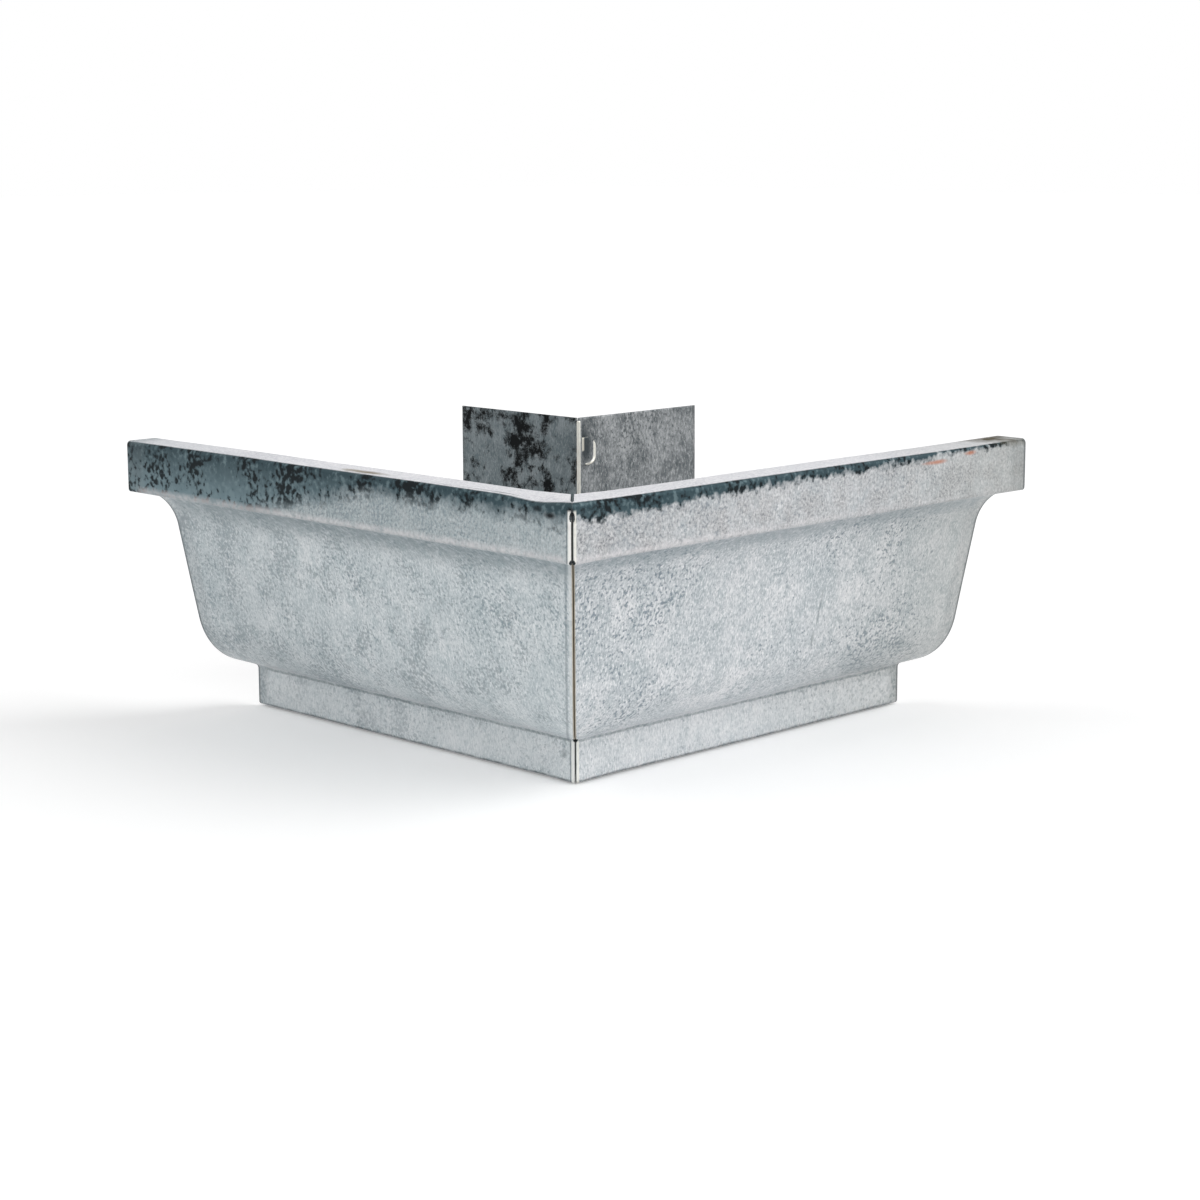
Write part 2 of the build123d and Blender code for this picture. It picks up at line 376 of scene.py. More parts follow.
# %% Dent in the left lip
DENT_CENTRE = (-126.5, -114.0, 83.0)
DENT_HALF_SIZES = (4.5, 12.5, 4.0)
DENT_DEPTH = (0.3, 0.0, -0.75)
SAME_POINT = 0.01
dent_depth = [value * MM for value in DENT_DEPTH]
_, _, away = from_egg(fold_half, place, DENT_CENTRE, DENT_HALF_SIZES)
press_links = {0: away, 1: 1.0, 2: 0.0}
press = add_node(fold_half, "ShaderNodeMapRange", press_links, interpolation_type="SMOOTHSTEP")
pressed = add_node(fold_half, "ShaderNodeVectorMath", {0: dent_depth, "Scale": press}, operation="SCALE")
dented = add_node(fold_half, "GeometryNodeSetPosition", {"Geometry": notched, "Offset": pressed})
merge_links = {"Geometry": dented, "Distance": SAME_POINT * MM}
merged = add_node(fold_half, "GeometryNodeMergeByDistance", merge_links)
print("dent of", -DENT_DEPTH[2], "mm,", len(fold_half.nodes), "nodes so far")

# %% [markdown]
# ## Waves of thin sheet
# Sheet of half a millimetre is never flat: light slides over it in slow waves. A noise of real size along
# the normals gives them. They go inwards only, so that the outside sizes stay, and die out at the stiff
# seam. The left hand is a mirror image, which turns the faces inside out, so its faces are flipped first.

# %% Faces outwards, waves and the end of the tree
left_hand = add_node(fold_half, "FunctionNodeBooleanMath", {0: size["Right hand"]}, operation="NOT")
outwards = add_node(fold_half, "GeometryNodeFlipFaces", {"Mesh": merged, "Selection": left_hand})
pitch = add_node(fold_half, "ShaderNodeMath", {0: 1.0, 1: size["Wave length"]}, operation="DIVIDE")
noise = add_node(fold_half, "ShaderNodeTexNoise", {"Scale": pitch, "Detail": 1.0})
calm_links = {0: along, 1: 0.0, 2: near, 3: 0.0, 4: size["Wave depth"]}
calm = add_node(fold_half, "ShaderNodeMapRange", calm_links)
deep = add_node(fold_half, "ShaderNodeMath", {0: noise, 1: calm}, operation="MULTIPLY")
inward = add_node(fold_half, "ShaderNodeMath", {0: deep, 1: -1.0}, operation="MULTIPLY")
normal = add_node(fold_half, "GeometryNodeInputNormal")
offset = add_node(fold_half, "ShaderNodeVectorMath", {0: normal, "Scale": inward}, operation="SCALE")
waved = add_node(fold_half, "GeometryNodeSetPosition", {"Geometry": outwards, "Offset": offset})
smooth = add_node(fold_half, "GeometryNodeSetShadeSmooth", {0: waved})
whole = add_node(fold_half, "GeometryNodeRealizeInstances", {0: smooth})
painted = add_node(fold_half, "GeometryNodeSetMaterial", {"Geometry": whole, "Material": size["Material"]})
add_node(fold_half, "NodeGroupOutput", {0: painted})
print("tree with", len(fold_half.nodes), "nodes")

# %% [markdown]
# ## The zinc skin
# Hot-dip galvanised sheet carries a dull zinc skin that froze in small crystals, the spangle. After some
# handling it is a cool grey with soft clouds, short pale flecks that stand upright and small dark specks
# in clusters. A photo of it could be wrapped on, but noises need no unfolding and have no seams. Each
# feature has its own size in millimetres, so each is a noise of its own, laid over the last one.

# %% Colour function


def srgb(code):
    """Linear colour of an sRGB hex code."""
    values = [int(code[i:i + 2], 16) / 255 for i in (1, 3, 5)]
    return (*[v / 12.92 if v <= 0.04045 else ((v + 0.055) / 1.055) ** 2.4 for v in values], 1)


print("mid grey is", round(srgb("#808080")[0], 3), "in linear light")

# %% Zinc skin
# The finest real grain is too fine to show, so flecks and specks are drawn as coarse as they need to show
CLOUD, MOTTLE, FLECK, SPECK, SPANGLE = 14 * MM, 4 * MM, 0.52 * MM, 0.95 * MM, 2.6 * MM
# Dull zinc is part metal and part grey oxide, so it is only half metallic
ZINC_METALLIC = 0.5
# Settings of a Mix node that blends colours
BLEND = {"output": 2, "data_type": "RGBA"}


def zinc_skin(name, pale, deep, fleck, speck, grain):
    """Zinc-coated sheet with its grain: its tree, its place, and its colour and sheen, open to paint."""
    material = bpy.data.materials.new(name)
    material.use_nodes = True
    tree = material.node_tree
    shader = tree.nodes["Principled BSDF"]
    shader.inputs["Metallic"].default_value = ZINC_METALLIC
    shader.inputs["Specular IOR Level"].default_value = 0.3
    place = add_node(tree, "ShaderNodeTexCoord", output="Object")

    clouds = add_node(tree, "ShaderNodeTexNoise", {"Vector": place, "Scale": 1 / CLOUD, "Detail": 4.0})
    cloudy = add_node(tree, "ShaderNodeMapRange", {0: clouds, 1: 0.25, 2: 0.7})
    colour = add_node(tree, "ShaderNodeMix", {0: cloudy, 6: srgb(deep), 7: srgb(pale)}, **BLEND)
    tall = (1 / MOTTLE, 1 / MOTTLE, 0.6 / MOTTLE)
    patches = add_node(tree, "ShaderNodeVectorMath", {0: place, 1: tall}, operation="MULTIPLY")
    mottle_links = {"Vector": patches, "Scale": 1.0, "Detail": 3.0, "Roughness": 0.65}
    mottle = add_node(tree, "ShaderNodeTexNoise", mottle_links)
    mottled = add_node(tree, "ShaderNodeMapRange", {0: mottle, 1: 0.47, 2: 0.64, 4: 0.9})
    colour = add_node(tree, "ShaderNodeMix", {0: mottled, 6: colour, 7: srgb(deep)}, **BLEND)

    upright = (1 / FLECK, 1 / FLECK, 0.45 / FLECK)
    stretched = add_node(tree, "ShaderNodeVectorMath", {0: place, 1: upright}, operation="MULTIPLY")
    fleck_links = {"Vector": stretched, "Scale": 1.0, "Detail": 4.0, "Roughness": 0.7}
    flecks = add_node(tree, "ShaderNodeTexNoise", fleck_links)
    light = add_node(tree, "ShaderNodeMapRange", {0: flecks, 1: 0.5, 2: 0.7, 4: 0.85 * grain})
    colour = add_node(tree, "ShaderNodeMix", {0: light, 6: colour, 7: srgb(fleck)}, **BLEND)
    dark = add_node(tree, "ShaderNodeMapRange", {0: flecks, 1: 0.48, 2: 0.28, 4: 0.75 * grain})
    colour = add_node(tree, "ShaderNodeMix", {0: dark, 6: colour, 7: srgb(speck)}, **BLEND)

    grit = add_node(tree, "ShaderNodeTexNoise", {"Vector": place, "Scale": 1 / SPECK, "Detail": 2.0})
    where = add_node(tree, "ShaderNodeTexNoise", {"Vector": place, "Scale": 0.4 / CLOUD, "Detail": 2.0})
    crowd = add_node(tree, "ShaderNodeMath", {0: where, 1: 0.6, 2: grit}, operation="MULTIPLY_ADD")
    specks = add_node(tree, "ShaderNodeMapRange", {0: crowd, 1: 0.9, 2: 1.02, 4: 0.8 * grain})
    colour = add_node(tree, "ShaderNodeMix", {0: specks, 6: colour, 7: srgb(speck)}, **BLEND)

    # Each crystal of the spangle has a sheen of its own, and the flecks stand up a little
    spangle = add_node(tree, "ShaderNodeTexVoronoi", {"Vector": place, "Scale": 1 / SPANGLE}, output="Color")
    sheen = add_node(tree, "ShaderNodeMapRange", {0: spangle, 3: 0.36, 4: 0.56})
    tree.links.new(sheen, shader.inputs["Roughness"])
    relief = {"Height": flecks, "Strength": 0.25, "Distance": 0.1 * MM}
    tree.links.new(add_node(tree, "ShaderNodeBump", relief), shader.inputs["Normal"])
    return tree, place, colour, sheen


print("clouds of", round(CLOUD / MM, 2), "mm and flecks of", round(FLECK / MM, 2), "mm")

# %% [markdown]
# ## The outside
# Both arms were dipped in the same bath, but have aged differently: the left one is cooler and speckled,
# and the lips are handled and darker, partly as painted dark reflection. Painting vertex colours would need
# a dense mesh. Masks made from the place and the direction of the surface do it at any scale: a direction
# tells the left arm from the right one, and a height tells the lip from the ogee.

# %% Faces and masks of the outside
# Hot-dip galvanised steel: a dull metal, pale grey and finely flecked, with slate painted dark reflection on
# the lips and painted highlights and shade along the bends
tree, spot, colour, sheen = zinc_skin(
    "hot_dip_galvanised_steel", "#DBDCDE", "#B2BABE", "#F2F2F3", "#7F8B94", 1.15
)
x, y, z = add_node(tree, "ShaderNodeSeparateXYZ", {0: spot}).node.outputs
facing = add_node(tree, "ShaderNodeNewGeometry", output="Normal")
face_x, face_y, face_z = add_node(tree, "ShaderNodeSeparateXYZ", {0: facing}).node.outputs
on_left = add_node(tree, "ShaderNodeMapRange", {0: face_x, 1: -0.35, 2: -0.6})
on_right = add_node(tree, "ShaderNodeMapRange", {0: face_y, 1: -0.35, 2: -0.6})
lip_edge = {0: z, 1: (LIP_BOTTOM - 0.2) * MM, 2: (LIP_BOTTOM + 0.6) * MM}
on_lip = add_node(tree, "ShaderNodeMapRange", lip_edge)
left_lip = add_node(tree, "ShaderNodeMath", {0: on_left, 1: on_lip}, operation="MULTIPLY")
right_lip = add_node(tree, "ShaderNodeMath", {0: on_right, 1: on_lip}, operation="MULTIPLY")
cooler = add_node(tree, "ShaderNodeMath", {0: on_left, 1: 0.2}, operation="MULTIPLY")
colour = add_node(tree, "ShaderNodeMix", {0: cooler, 6: colour, 7: srgb("#D6E7E9")}, **BLEND)
print("masks,", len(tree.nodes), "nodes so far")

# %% Lips: mottled and darker than the ogee, partly as painted dark reflection, the left one most at its cut end
BLOT, GRAIN, RAGGED = 1.6 * MM, 0.75 * MM, 7 * MM
blot = add_node(tree, "ShaderNodeTexNoise", {"Vector": spot, "Scale": 1 / BLOT, "Detail": 3.0})
fine_links = {"Vector": spot, "Scale": 1 / GRAIN, "Detail": 4.0, "Roughness": 0.7}
fine = add_node(tree, "ShaderNodeTexNoise", fine_links)
patch = add_node(tree, "ShaderNodeMapRange", {0: fine, 1: 0.36, 2: 0.64})
ragged_links = {"Vector": spot, "Scale": 1 / RAGGED, "Detail": 3.0, "Roughness": 0.6}
ragged = add_node(tree, "ShaderNodeTexNoise", ragged_links)

dull_links = {0: y, 1: -WIDTH * MM, 2: ARM_END * MM, 3: 0.46, 4: 0.85}
darker_to_end = add_node(tree, "ShaderNodeMapRange", dull_links)
handled = add_node(tree, "ShaderNodeMapRange", {0: ragged, 1: 0.35, 2: 0.65, 3: 0.35, 4: 0.85})
LIP_TINTS = [
    # The left lip's darker tint is partly painted dark reflection, growing towards its cut end
    (left_lip, darker_to_end, "#46545A", "#A2AEB1"),
    (right_lip, handled, "#686A6E", "#CCCCCD"),
]
for lip, amount, dark_tint, pale_tint in LIP_TINTS:
    tints = {0: patch, 6: srgb(dark_tint), 7: srgb(pale_tint)}
    tint = add_node(tree, "ShaderNodeMix", tints, **BLEND)
    dulled = add_node(tree, "ShaderNodeMath", {0: amount, 1: lip}, operation="MULTIPLY")
    colour = add_node(tree, "ShaderNodeMix", {0: dulled, 6: colour, 7: tint}, **BLEND)
print("lips,", len(tree.nodes), "nodes so far")

# %% Lip tops, with a painted reflection of the white surroundings that makes them almost white
on_top = add_node(tree, "ShaderNodeMapRange", {0: face_z, 1: 0.75, 2: 0.95, 4: 0.6})
lip_top_highlight = add_node(tree, "ShaderNodeMath", {0: on_top, 1: on_lip}, operation="MULTIPLY")
top_highlight_tints = {0: patch, 6: srgb("#D6D3DA"), 7: srgb("#FBFAFB")}
top_highlight_tint = add_node(tree, "ShaderNodeMix", top_highlight_tints, **BLEND)
# Painted highlight: the upward faces of the lips are painted near white
colour = add_node(tree, "ShaderNodeMix", {0: lip_top_highlight, 6: colour, 7: top_highlight_tint}, **BLEND)
print("lip tops,", len(tree.nodes), "nodes so far")

# %% Cut ends, cloudier and darker
END_START = -20 * MM
EDGE_START, EDGE_END = (ARM_END - 1.0) * MM, (ARM_END - 0.3) * MM
for side, amount, tint in ((x, 0.42, "#93968F"), (y, 0.3, "#939DA1")):
    to_end = add_node(tree, "ShaderNodeMapRange", {0: side, 1: END_START, 2: ARM_END * MM, 4: amount})
    colour = add_node(tree, "ShaderNodeMix", {0: to_end, 6: colour, 7: srgb(tint)}, **BLEND)
    at_end = add_node(tree, "ShaderNodeMapRange", {0: side, 1: EDGE_START, 2: EDGE_END, 4: 0.8})
    colour = add_node(tree, "ShaderNodeMix", {0: at_end, 6: colour, 7: srgb("#4A5357")}, **BLEND)
print("cut ends,", len(tree.nodes), "nodes so far")

# %% Dark specks on the left arm, most at its cut end
SPECK_CROWD, GRIT = 9 * MM, 0.85 * MM
crowd = add_node(tree, "ShaderNodeTexNoise", {"Vector": spot, "Scale": 1 / SPECK_CROWD, "Detail": 2.0})
further = add_node(tree, "ShaderNodeMapRange", {0: y, 1: -90 * MM, 2: ARM_END * MM, 3: -0.06, 4: 0.04})
gathered = add_node(tree, "ShaderNodeMath", {0: crowd, 1: 0.7, 2: further}, operation="MULTIPLY_ADD")
grit = add_node(tree, "ShaderNodeTexNoise", {"Vector": spot, "Scale": 1 / GRIT, "Detail": 3.0})
crowded = add_node(tree, "ShaderNodeMath", {0: gathered, 1: grit}, operation="ADD")
specks = add_node(tree, "ShaderNodeMapRange", {0: crowded, 1: 0.88, 2: 1.0, 4: 0.5})
left_specks = add_node(tree, "ShaderNodeMath", {0: specks, 1: on_left}, operation="MULTIPLY")
colour = add_node(tree, "ShaderNodeMix", {0: left_specks, 6: colour, 7: srgb("#74828A")}, **BLEND)
print("specks,", len(tree.nodes), "nodes so far")

# %% [markdown]
# ## Painted dark reflection on the lips
# The upright lips face the dark surroundings, so a slate band of painted dark reflection runs along the
# top of both lips, and drops to the whole face at the left end. A straight mask would look ruled. So the
# height is roughened by two noises, and the band begins where that rough height passes a sloping line.

# %% Bands of painted dark reflection, with the height in mm where each begins at the corner and at the cut end
LEFT_DARK_REFLECTION, RIGHT_DARK_REFLECTION = (78.4, 65.0), (78.7, 82.3)
jitter = add_node(tree, "ShaderNodeMapRange", {0: ragged, 1: 0.3, 2: 0.7, 3: -1.2 * MM, 4: 1.2 * MM})
spots = add_node(tree, "ShaderNodeMapRange", {0: blot, 1: 0.3, 2: 0.7, 3: -0.8 * MM, 4: 0.8 * MM})
rough_level = add_node(tree, "ShaderNodeMath", {0: z, 1: jitter}, operation="ADD")
level = add_node(tree, "ShaderNodeMath", {0: rough_level, 1: spots}, operation="ADD")

left_fall = {0: y, 1: -50 * MM, 2: 15 * MM, 3: LEFT_DARK_REFLECTION[0] * MM, 4: LEFT_DARK_REFLECTION[1] * MM}
left_line = add_node(tree, "ShaderNodeMapRange", left_fall)
right_rise = {0: x, 1: -WIDTH * MM, 2: ARM_END * MM, 3: RIGHT_DARK_REFLECTION[0] * MM, 4: RIGHT_DARK_REFLECTION[1] * MM}
right_line = add_node(tree, "ShaderNodeMapRange", right_rise)
lip_bands = []
for lip, line, below, above in ((left_lip, left_line, -2.5, 2.0), (right_lip, right_line, -0.9, 0.5)):
    over_line = add_node(tree, "ShaderNodeMath", {0: level, 1: line}, operation="SUBTRACT")
    dark = add_node(tree, "ShaderNodeMapRange", {0: over_line, 1: below * MM, 2: above * MM})
    lip_bands.append(add_node(tree, "ShaderNodeMath", {0: dark, 1: lip}, operation="MULTIPLY"))
band = add_node(tree, "ShaderNodeMath", {0: lip_bands[0], 1: lip_bands[1]}, operation="MAXIMUM")
to_top = add_node(tree, "ShaderNodeMapRange", {0: level, 1: 70 * MM, 2: 81.5 * MM})
# Painted dark reflection: slate, darkest towards the lip's top
dark_reflection_tint = add_node(tree, "ShaderNodeMix", {0: to_top, 6: srgb("#6C8188"), 7: srgb("#2D4249")}, **BLEND)
colour = add_node(tree, "ShaderNodeMix", {0: band, 6: colour, 7: dark_reflection_tint}, **BLEND)
print("oxide,", len(tree.nodes), "nodes so far")

# %% Black blots of painted dark reflection that crowd together in the band, and paler places in it
BLOT_CROWD = 16 * MM
crowd = add_node(tree, "ShaderNodeTexNoise", {"Vector": spot, "Scale": 1 / BLOT_CROWD, "Detail": 1.0})
crowded = add_node(tree, "ShaderNodeMath", {0: crowd, 1: 0.8, 2: blot}, operation="MULTIPLY_ADD")
blots = add_node(tree, "ShaderNodeMapRange", {0: crowded, 1: 0.92, 2: 1.04, 4: 0.9})
dark_reflection_blots = add_node(tree, "ShaderNodeMath", {0: blots, 1: band}, operation="MULTIPLY")
colour = add_node(tree, "ShaderNodeMix", {0: dark_reflection_blots, 6: colour, 7: srgb("#080D10")}, **BLEND)
# Paler places within the painted dark reflection
paler_spots = add_node(tree, "ShaderNodeMapRange", {0: blot, 1: 0.46, 2: 0.3, 4: 0.6})
paler_in_reflection = add_node(tree, "ShaderNodeMath", {0: paler_spots, 1: band}, operation="MULTIPLY")
colour = add_node(tree, "ShaderNodeMix", {0: paler_in_reflection, 6: colour, 7: srgb("#6E8287")}, **BLEND)
print("blots,", len(tree.nodes), "nodes so far")

# %% [markdown]
# ## Painted highlights on bends and painted shade in hollows
# Bends that stick out get a painted highlight, and the cove under the lip, the step's inner corner and the
# bottom edge get painted shade, while the step face is made paler. Each runs the length of an arm at one
# height, so each is a band of height with its own tint, broken up by the blots. They belong to the front:
# the fascia side of the back walls is kept out.

# %% Bands of height: the mask, the lowest and highest place in mm, the strength and the tint
uneven = add_node(tree, "ShaderNodeMath", {0: jitter, 1: 0.12, 2: z}, operation="MULTIPLY_ADD")
backwards = add_node(tree, "ShaderNodeMath", {0: face_x, 1: face_y}, operation="MAXIMUM")
on_front = add_node(tree, "ShaderNodeMapRange", {0: backwards, 1: 0.5, 2: 0.3})
patchiness = add_node(tree, "ShaderNodeMapRange", {0: blot, 1: 0.35, 2: 0.6, 3: 0.4, 4: 1.1})
patchy_front = add_node(tree, "ShaderNodeMath", {0: on_front, 1: patchiness}, operation="MULTIPLY")
from_corner = add_node(tree, "ShaderNodeMapRange", {0: x, 1: -90 * MM, 2: 20 * MM, 3: 1.0, 4: 0.15})
near_corner = add_node(tree, "ShaderNodeMath", {0: patchy_front, 1: from_corner}, operation="MULTIPLY")
patchy_left_front = add_node(tree, "ShaderNodeMath", {0: patchy_front, 1: on_left}, operation="MULTIPLY")
BANDS = [
    # Painted shade in the cove under the lip
    (patchy_front, 62.5, 67.0, 0.5, "#87949A"),
    # More painted shade in the cove on the left arm
    (patchy_left_front, 60.0, 67.0, 0.4, "#7C8A8F"),
    # Painted highlight on the lip's bottom bend, near the corner
    (near_corner, 67.3, 70.0, 0.5, "#DAD6D7"),
    # A paler step face
    (patchy_front, 1.0, 11.0, 0.4, "#E8EAEB"),
    # Painted highlight on the bend just above the step
    (patchy_front, 12.3, 14.0, 0.75, "#EDECEE"),
    # Painted shade in the step's inner corner
    (patchy_front, 11.2, 11.9, 0.6, "#6E7A7E"),
    # Painted shade along the bottom edge
    (patchy_front, 0.0, 0.9, 0.7, "#545E62"),
]


def near_line(tree, level, middle, half, softness, amount):
    """Mask of the places whose level is within half a width of the middle, both in mm, with soft edges."""
    past = add_node(tree, "ShaderNodeMath", {0: level, 1: middle * MM}, operation="SUBTRACT")
    off = add_node(tree, "ShaderNodeMath", {0: past}, operation="ABSOLUTE")
    edge = {0: off, 1: (1 + softness) * half * MM, 2: (1 - softness) * half * MM, 4: amount}
    return add_node(tree, "ShaderNodeMapRange", edge)


BAND_SOFTNESS = 0.5
for where, low, high, amount, tint in BANDS:
    on_band = near_line(tree, uneven, (low + high) / 2, (high - low) / 2, BAND_SOFTNESS, amount)
    there = add_node(tree, "ShaderNodeMath", {0: on_band, 1: where}, operation="MULTIPLY")
    colour = add_node(tree, "ShaderNodeMix", {0: there, 6: colour, 7: srgb(tint)}, **BLEND)
print(len(BANDS), "bands,", len(tree.nodes), "nodes so far")

# %% [markdown]
# ## Painted light along the seam
# On the lip and the step the two bends of the seam get painted highlights, with painted shade in the
# groove between them and in the gap beside them. On the ogee one bend gets a painted highlight, the groove
# has a brown line, and the folding tool has left a faint line on the left of it. All of them run beside
# the miter, so the difference of x and y says how far from it a point is.

# %% Seam lines: the mask, the distance from the miter and the half width in mm, the strength and the tint
skew = add_node(tree, "ShaderNodeMath", {0: x, 1: y}, operation="SUBTRACT")
on_step = add_node(tree, "ShaderNodeMapRange", {0: z, 1: STEP_HEIGHT * MM, 2: (STEP_HEIGHT - 0.8) * MM})
below_top = add_node(tree, "ShaderNodeMapRange", {0: z, 1: 81.2 * MM, 2: 80.6 * MM})
on_lip_face = add_node(tree, "ShaderNodeMath", {0: on_lip, 1: below_top}, operation="MULTIPLY")
on_flat = add_node(tree, "ShaderNodeMath", {0: on_lip_face, 1: on_step}, operation="MAXIMUM")
on_edges = add_node(tree, "ShaderNodeMath", {0: on_lip, 1: on_step}, operation="MAXIMUM")
on_ogee = add_node(tree, "ShaderNodeMath", {0: 1.0, 1: on_edges}, operation="SUBTRACT")
SEAM_LINES = [
    # Painted highlights on the two bends
    (on_flat, -0.9, 0.55, 0.9, "#F3F3EF"),
    (on_flat, 0.9, 0.45, 0.75, "#EFEDE4"),
    # Painted shade in the gap beside the seam
    (on_flat, -1.8, 0.22, 0.6, "#59646A"),
    # Painted shade in the groove
    (on_flat, 0.0, 0.35, 0.8, "#6A6A66"),
    # Painted highlight on the bend on the ogee
    (on_ogee, -1.0, 0.7, 0.6, "#DFE2E2"),
    (on_ogee, 0.0, 0.55, 0.85, "#9C9079"),
    (on_ogee, -2.6, 0.4, 0.5, "#77838A"),
]
SEAM_SOFTNESS = 0.3
for where, middle, half, amount, tint in SEAM_LINES:
    on_seam = near_line(tree, skew, middle, half, SEAM_SOFTNESS, amount)
    there = add_node(tree, "ShaderNodeMath", {0: on_seam, 1: where}, operation="MULTIPLY")
    colour = add_node(tree, "ShaderNodeMix", {0: there, 6: colour, 7: srgb(tint)}, **BLEND)
print(len(SEAM_LINES), "seam lines,", len(tree.nodes), "nodes so far")

# %% [markdown]
# ## Stains
# A few marks belong to this one piece: brown dirt on the lip tops, two rust marks, black spots by the
# corner and scratches on the ogee. Each is an egg shape with a ragged edge, placed in millimetres. Dirt
# doesn't shine, so where it lies the metal becomes rough and stops being metal, and so do the lip tops
# with their painted highlight and the black blots of painted dark reflection.

# %% Stains: the centre and half sizes in mm, the strength and the tint
STAINS = [
    ((-124.0, -50.0, 83.0), (2.2, 11.0, 1.2), 0.85, "#75684F"),
    ((-125.0, -100.0, 83.0), (0.5, 24.0, 0.6), 0.8, "#4E585D"),
    ((44.0, -120.0, 83.0), (12.0, 10.0, 2.4), 0.95, "#41391F"),
    ((9.0, -127.0, 79.8), (6.0, 2.0, 0.7), 0.75, "#BB7350"),
    ((25.5, -127.0, 81.0), (3.0, 2.0, 0.7), 0.75, "#BB7350"),
    ((-127.0, -115.0, 80.4), (1.0, 2.6, 0.9), 0.95, "#0C1216"),
    ((-127.0, -119.5, 79.2), (1.0, 2.4, 0.9), 0.95, "#0C1216"),
    ((-13.3, -107.0, 40.0), (0.6, 6.0, 5.5), 0.7, "#7B8588"),
    ((-13.9, -105.0, 31.5), (0.5, 6.0, 3.0), 0.6, "#7B8588"),
    ((-83.4, -79.0, 7.6), (1.0, 1.6, 1.8), 0.5, "#808C8F"),
]
matte_mask = add_node(tree, "ShaderNodeMath", {0: lip_top_highlight, 1: dark_reflection_blots}, operation="MAXIMUM")
for centre, half_sizes, amount, tint in STAINS:
    _, _, away = from_egg(tree, spot, centre, half_sizes)
    edge = add_node(tree, "ShaderNodeMath", {0: ragged, 1: 1.6, 2: away}, operation="MULTIPLY_ADD")
    stain = add_node(tree, "ShaderNodeMapRange", {0: edge, 1: 1.85, 2: 1.0, 4: amount})
    colour = add_node(tree, "ShaderNodeMix", {0: stain, 6: colour, 7: srgb(tint)}, **BLEND)
    matte_mask = add_node(tree, "ShaderNodeMath", {0: matte_mask, 1: stain}, operation="MAXIMUM")
print(len(STAINS), "stains,", len(tree.nodes), "nodes so far")

# %% Outside finish to its shader


def dress(tree, colour, sheen, matte_mask):
    """Give the shader its colour, and make it rough and no metal where the matte mask lies."""
    shader = tree.nodes["Principled BSDF"].inputs
    matte_roughness = add_node(tree, "ShaderNodeMix", {0: matte_mask, 2: sheen, 3: 1.0}, data_type="FLOAT")
    bare_metal = add_node(tree, "ShaderNodeMapRange", {0: matte_mask, 3: ZINC_METALLIC, 4: 0.0})
    tree.links.new(colour, shader["Base Color"])
    tree.links.new(matte_roughness, shader["Roughness"])
    tree.links.new(bare_metal, shader["Metallic"])


dress(tree, colour, sheen, matte_mask)
print("outside finish with", len(tree.nodes), "nodes")

# %% [markdown]
# ## The trough side
# The inside of a gutter holds wet leaves, so its zinc is weathered to a mid grey, and it is made darker
# still as a painted dark reflection of the surroundings its upright walls face. The left back wall, which
# shows over the lip, gets more painted dark reflection: slate with nearly black blotches. It is the same
# skin with other colours, and a noise of two sizes gathers the blotches together.

# %% Weathered zinc, with painted dark reflection and black blotches on the left back wall
# Weathered galvanised steel: a mid grey metal, dull and mottled, darkened by painted dark reflection that is
# slate with black patches on the left back wall
BLOTCH, BLOTCH_CROWD = 5 * MM, 15 * MM
tree, spot, colour, sheen = zinc_skin(
    "weathered_galvanised_steel_with_dark_reflection", "#A2A5A7", "#5A6063", "#BBBDBE", "#454C4F", 1.0
)
x = add_node(tree, "ShaderNodeSeparateXYZ", {0: spot})
facing = add_node(tree, "ShaderNodeNewGeometry", output="Normal")
face_x, face_y, _ = add_node(tree, "ShaderNodeSeparateXYZ", {0: facing}).node.outputs
on_left = add_node(tree, "ShaderNodeMapRange", {0: face_x, 1: -0.6, 2: -0.8})
at_back = add_node(tree, "ShaderNodeMapRange", {0: x, 1: -12 * MM, 2: -8 * MM})
left_back = add_node(tree, "ShaderNodeMath", {0: on_left, 1: at_back}, operation="MULTIPLY")
# Painted dark reflection on the left back wall
back_dark_reflection = add_node(tree, "ShaderNodeMath", {0: left_back, 1: 0.55}, operation="MULTIPLY")
colour = add_node(tree, "ShaderNodeMix", {0: back_dark_reflection, 6: colour, 7: srgb("#607075")}, **BLEND)
blotch_links = {"Vector": spot, "Scale": 1 / BLOTCH, "Detail": 5.0, "Roughness": 0.8}
blotch = add_node(tree, "ShaderNodeTexNoise", blotch_links)
crowd = add_node(tree, "ShaderNodeTexNoise", {"Vector": spot, "Scale": 1 / BLOTCH_CROWD, "Detail": 1.0})
gathered = add_node(tree, "ShaderNodeMath", {0: crowd, 1: 0.6, 2: blotch}, operation="MULTIPLY_ADD")
# Black blotches of painted dark reflection
black = add_node(tree, "ShaderNodeMapRange", {0: gathered, 1: 0.77, 2: 0.9, 4: 1.0})
reflection_blotches = add_node(tree, "ShaderNodeMath", {0: black, 1: left_back}, operation="MULTIPLY")
colour = add_node(tree, "ShaderNodeMix", {0: reflection_blotches, 6: colour, 7: srgb("#05090B")}, **BLEND)
print("weathered zinc,", len(tree.nodes), "nodes so far")

# %% Back corner: a dark patch at the ear, a painted highlight on the ear's edge and on the crest of the fold
EAR_CENTRE, EAR_DARK_HALF_SIZES = (2.2, 0.0, 74.5), (3.4, 6.0, 8.0)
ear_middle, _, ear_away = from_egg(tree, spot, EAR_CENTRE, EAR_DARK_HALF_SIZES)
ear_dark_patch = add_node(tree, "ShaderNodeMapRange", {0: ear_away, 1: 1.1, 2: 0.4, 4: 0.9})
colour = add_node(tree, "ShaderNodeMix", {0: ear_dark_patch, 6: colour, 7: srgb("#2A3338")}, **BLEND)

